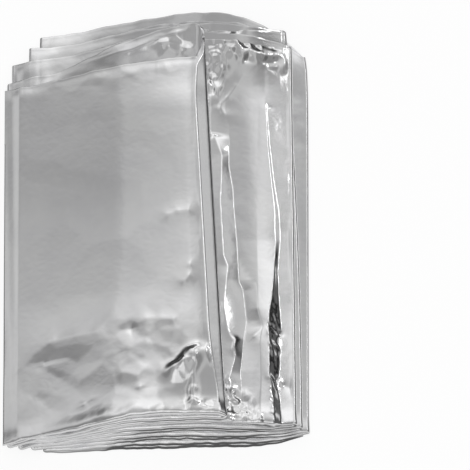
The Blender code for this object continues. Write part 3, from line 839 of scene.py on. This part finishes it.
def build_floor():
    """A pale floor, evenly bright to the camera. What it sends back to the film is painted: dark as painted
    shade, with a painted shadow at the pack and a painted glow round it.
    """
    mesh = bpy.data.meshes.new("floor")
    half = 8.0
    corners = [(-half, -half, 0.0), (half, -half, 0.0), (half, half, 0.0), (-half, half, 0.0)]
    mesh.from_pydata(corners, [], [(0, 1, 2, 3)])
    floor = bpy.data.objects.new("floor", mesh)
    bpy.context.scene.collection.objects.link(floor)
    material = bpy.data.materials.new("pale_floor_painted_reflections")
    material.use_nodes = True
    tree = material.node_tree
    shader = tree.nodes["Principled BSDF"]
    # Painted shade: the floor's own colour is dark so that the film reflects it dark; the camera sees it
    # pale through its glow.
    shader.inputs["Base Color"].default_value = (0.20, 0.20, 0.20, 1.0)
    shader.inputs["Roughness"].default_value = 0.9
    shader.inputs["Specular IOR Level"].default_value = 0.0
    shader.inputs["Emission Color"].default_value = (1.0, 1.0, 1.0, 1.0)
    ray = tree.nodes.new("ShaderNodeLightPath")
    place = tree.nodes.new("ShaderNodeTexCoord")
    split = tree.nodes.new("ShaderNodeSeparateXYZ")
    tree.links.new(place.outputs["Object"], split.inputs["Vector"])
    out_x = maths(tree, "SUBTRACT", maths(tree, "ABSOLUTE", split.outputs["X"]), FLOOR_SIDE_X)
    out_y = maths(tree, "SUBTRACT", maths(tree, "ABSOLUTE", split.outputs["Y"]), FLOOR_PACK_Y)
    # Beyond the tall middle of the near end the painted glowing frame starts at the pack, with no painted
    # shadow before it.
    left = maths(tree, "SUBTRACT", FLOOR_PAINTED_SHADOW_LEFT, split.outputs["X"])
    left = maths(tree, "DIVIDE", left, FLOOR_LEFT_BLEND)
    right = maths(tree, "SUBTRACT", split.outputs["X"], FLOOR_PAINTED_SHADOW_RIGHT)
    right = maths(tree, "DIVIDE", right, FLOOR_RIGHT_BLEND)
    beside = maths(tree, "MAXIMUM", maths(tree, "MAXIMUM", left, right), 0.0)
    beside = maths(tree, "MINIMUM", beside, 1.0)
    out_y = maths(tree, "ADD", out_y, maths(tree, "MULTIPLY", beside, FLOOR_BESIDE_LEAD))
    out = maths(tree, "DIVIDE", maths(tree, "MAXIMUM", out_x, out_y), FLOOR_GLOW_REACH)
    # Painted glow, seen only in the film's reflections: dark at the pack as a painted shadow, bright in a
    # frame round it.
    painted_glow = band_ramp(tree, FLOOR_GLOW_BANDS, 0.0, 1.0, 1.0)
    tree.links.new(out, painted_glow.inputs["Fac"])
    seen = maths(tree, "MULTIPLY", ray.outputs["Is Camera Ray"], FLOOR_SEEN_LEVEL)
    glow = maths(tree, "MAXIMUM", seen, painted_glow.outputs["Color"])
    tree.links.new(glow, shader.inputs["Emission Strength"])
    mesh.materials.append(material)


# Brightness round the studio, for a turn about X: 0 is the far horizon, 90 overhead and 180
# the near horizon, in degrees.
TURN_BANDS = (
    Band(0.0, 0.05), Band(9.0, 0.06), Band(15.0, 0.14), Band(20.0, 0.26), Band(24.0, 0.42),
    Band(28.0, 0.62),
    Band(31.0, 0.78), Band(36.0, 0.90), Band(40.0, 0.92), Band(44.0, 0.86), Band(48.0, 0.76),
    Band(52.0, 0.66),
    Band(54.0, 0.61), Band(58.0, 0.52), Band(62.0, 0.46), Band(72.0, 0.42), Band(90.0, 0.42),
    Band(108.0, 0.52), Band(120.0, 0.60), Band(140.0, 0.70), Band(155.0, 0.80), Band(168.0, 0.80),
    Band(180.0, 0.75),
)
# The same from side to side: -1 is the left horizon and 1 the right one.
SIDE_BANDS = (
    Band(-1.0, 0.50), Band(-0.85, 0.65), Band(-0.73, 0.68), Band(-0.68, 0.62), Band(-0.63, 0.52),
    Band(-0.50, 0.62), Band(-0.45, 0.68), Band(-0.43, 0.82), Band(-0.34, 0.86), Band(-0.26, 0.95),
    Band(-0.18, 1.08), Band(-0.12, 1.22), Band(-0.04, 1.24), Band(0.0, 0.95), Band(0.03, 0.86),
    Band(0.15, 0.96), Band(0.20, 0.92), Band(0.29, 0.94), Band(0.35, 1.15), Band(0.40, 1.27),
    Band(0.46, 1.22), Band(0.50, 1.00), Band(0.545, 0.76), Band(0.60, 0.64), Band(0.66, 0.56),
    Band(0.70, 0.74), Band(0.722, 0.66), Band(0.74, 0.41), Band(0.77, 0.34), Band(1.0, 0.26),
)
# Narrow bright strips: each starts, is full, is full still and ends at four sides and four turns.
Strip = namedtuple("Strip", "level sides turns")
STRIPS = (
    Strip(3.5, (0.578, 0.585, 0.612, 0.619), (40.0, 43.0, 53.0, 56.0)),
    Strip(1.0, (-0.40, -0.35, 0.30, 0.35), (20.0, 21.0, 25.0, 26.0)),
    Strip(0.8, (-0.45, -0.40, 0.45, 0.50), (119.0, 120.0, 127.0, 128.0)),
)
TURN_PEAK = 2.0
SIDE_PEAK = 1.5


def band_ramp(tree, bands, start, stop, peak):
    ramp = tree.nodes.new("ShaderNodeValToRGB")
    stops = ramp.color_ramp.elements
    shares = [(band.place - start) / (stop - start) for band in bands]
    stops[0].position = shares[0]
    stops[1].position = shares[-1]
    for share in shares[1:-1]:
        stops.new(share)
    for point, band in zip(stops, bands):
        level = band.level / peak
        point.color = (level, level, level, 1.0)
    return ramp


def maths(tree, operation, first, second=None):
    node = tree.nodes.new("ShaderNodeMath")
    node.operation = operation
    for socket, value in zip(node.inputs, (first, second)):
        if isinstance(value, (int, float)):
            socket.default_value = value
        elif value is not None:
            tree.links.new(value, socket)
    return node.outputs["Value"]


def strip_bands(places, start, stop):
    levels = (0.0, 0.0, 1.0, 1.0, 0.0, 0.0)
    return [Band(place, level) for place, level in zip((start,) + places + (stop,), levels)]


def build_world():
    """A grey studio: dark at the horizon, with soft boxes and a few narrow bright strips."""
    world = bpy.data.worlds.new("studio")
    world.use_nodes = True
    bpy.context.scene.world = world
    tree = world.node_tree
    ground = tree.nodes["Background"]
    place = tree.nodes.new("ShaderNodeTexCoord")
    split = tree.nodes.new("ShaderNodeSeparateXYZ")
    tree.links.new(place.outputs["Generated"], split.inputs["Vector"])
    turn = maths(tree, "ARCTAN2", split.outputs["Z"], split.outputs["Y"])
    turn = maths(tree, "DIVIDE", turn, math.pi)
    side = maths(tree, "MULTIPLY", maths(tree, "ADD", split.outputs["X"], 1.0), 0.5)
    turn_ramp = band_ramp(tree, TURN_BANDS, 0.0, 180.0, TURN_PEAK)
    side_ramp = band_ramp(tree, SIDE_BANDS, -1.0, 1.0, SIDE_PEAK)
    tree.links.new(turn, turn_ramp.inputs["Fac"])
    tree.links.new(side, side_ramp.inputs["Fac"])
    strength = maths(tree, "MULTIPLY", turn_ramp.outputs["Color"], side_ramp.outputs["Color"])
    strength = maths(tree, "MULTIPLY", strength, TURN_PEAK * SIDE_PEAK)
    for item in STRIPS:
        across = band_ramp(tree, strip_bands(item.sides, -1.0, 1.0), -1.0, 1.0, 1.0)
        tall = band_ramp(tree, strip_bands(item.turns, 0.0, 180.0), 0.0, 180.0, 1.0)
        tree.links.new(side, across.inputs["Fac"])
        tree.links.new(turn, tall.inputs["Fac"])
        strip = maths(tree, "MULTIPLY", across.outputs["Color"], tall.outputs["Color"])
        strength = maths(tree, "ADD", strength, maths(tree, "MULTIPLY", strip, item.level))
    ground.inputs["Color"].default_value = (1.0, 1.0, 1.0, 1.0)
    tree.links.new(strength, ground.inputs["Strength"])
    pale = tree.nodes.new("ShaderNodeBackground")
    pale.inputs["Color"].default_value = (0.95, 0.95, 0.95, 1.0)
    ray = tree.nodes.new("ShaderNodeLightPath")
    mix = tree.nodes.new("ShaderNodeMixShader")
    tree.links.new(ray.outputs["Is Camera Ray"], mix.inputs["Fac"])
    tree.links.new(ground.outputs["Background"], mix.inputs[1])
    tree.links.new(pale.outputs["Background"], mix.inputs[2])
    tree.links.new(mix.outputs["Shader"], tree.nodes["World Output"].inputs["Surface"])


Lamp = namedtuple("Lamp", "name target toward across distance width height radiance")
# A lamp stands at a distance from its target, toward a direction; its width runs across.
LAMPS = (
    Lamp("overhead", (0.0, 0.0, 0.0), (0.0, -0.17, 0.98), (1.0, 0.0, 0.0), 2.5, 1.0, 1.0, 0.40),
    # A low one, close enough to show only in the near half of the top leaf.
    Lamp("front_fill", (-0.03, -0.08, 0.0), (-0.389, 0.585, 0.713), (0.907, 0.014, 0.421),
         0.35, 0.32, 0.08, 0.08),
)


def build_lamps():
    for lamp in LAMPS:
        data = bpy.data.lights.new(lamp.name, "AREA")
        data.shape = "RECTANGLE"
        data.size = lamp.width
        data.size_y = lamp.height
        data.energy = lamp.radiance * lamp.width * lamp.height * math.pi
        item = bpy.data.objects.new(lamp.name, data)
        toward = Vector(lamp.toward).normalized()
        across = Vector(lamp.across)
        across = (across - across.dot(toward) * toward).normalized()
        axes = Matrix((across, toward.cross(across), toward)).transposed()
        item.location = Vector(lamp.target) + toward * lamp.distance
        item.rotation_mode = "QUATERNION"
        item.rotation_quaternion = axes.to_quaternion()
        bpy.context.scene.collection.objects.link(item)


def build_camera():
    data = bpy.data.cameras.new("camera")
    data.type = "PERSP"
    data.sensor_width = SENSOR
    view_width = FRAME_PIXELS * MM_PER_PIXEL * MM
    data.lens = SENSOR * CAMERA_DISTANCE / view_width
    camera = bpy.data.objects.new("camera", data)
    aim = Vector(((FRAME_CENTRE - PACK_U) * MM_PER_PIXEL * MM, PAGE_SHIFT_Y * MM, 0.0))
    back = Vector((0.0, -math.cos(ELEVATION), math.sin(ELEVATION)))
    camera.location = aim + back * CAMERA_DISTANCE
    camera.rotation_mode = "QUATERNION"
    camera.rotation_quaternion = back.to_track_quat("Z", "Y")
    data.clip_start = 0.1
    data.clip_end = 50.0
    bpy.context.scene.collection.objects.link(camera)
    bpy.context.scene.camera = camera


def main():
    bpy.context.scene.view_settings.view_transform = "Standard"
    pieces = build_film()
    settle(pieces)
    material = foil_material()
    for piece in pieces:
        piece.data.materials.append(material)
        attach(piece, "root")
        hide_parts(NODE)
    build_floor()
    build_world()
    build_lamps()
    build_camera()


main()
